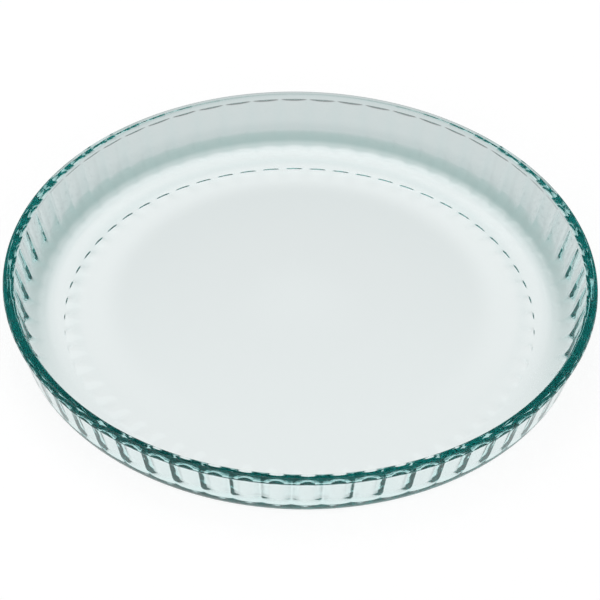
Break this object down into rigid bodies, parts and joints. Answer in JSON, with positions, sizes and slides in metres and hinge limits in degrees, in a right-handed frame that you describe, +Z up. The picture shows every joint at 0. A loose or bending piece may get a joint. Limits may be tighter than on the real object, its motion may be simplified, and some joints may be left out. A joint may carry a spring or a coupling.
{
  "type": "pie dish",
  "caption": "Round shallow fluted flan dish of clear pressed glass with a flat floor, flared wall and plain raised rim, for baking and serving pies and tarts.",
  "frame": {"origin": "centre of the foot, on the surface the dish stands on", "axes": "+Z up along the axis of the dish; the middle of one flute is on -Y; +X to the right seen from -Y"},
  "size_m": [0.28, 0.28, 0.03],
  "materials": {
    "clear_glass": "clear polished pressed glass with a blue-green edge tint"
  },
  "bodies": {
    "root": {"glass_dish": "clear_glass"}
  },
  "joints": []
}
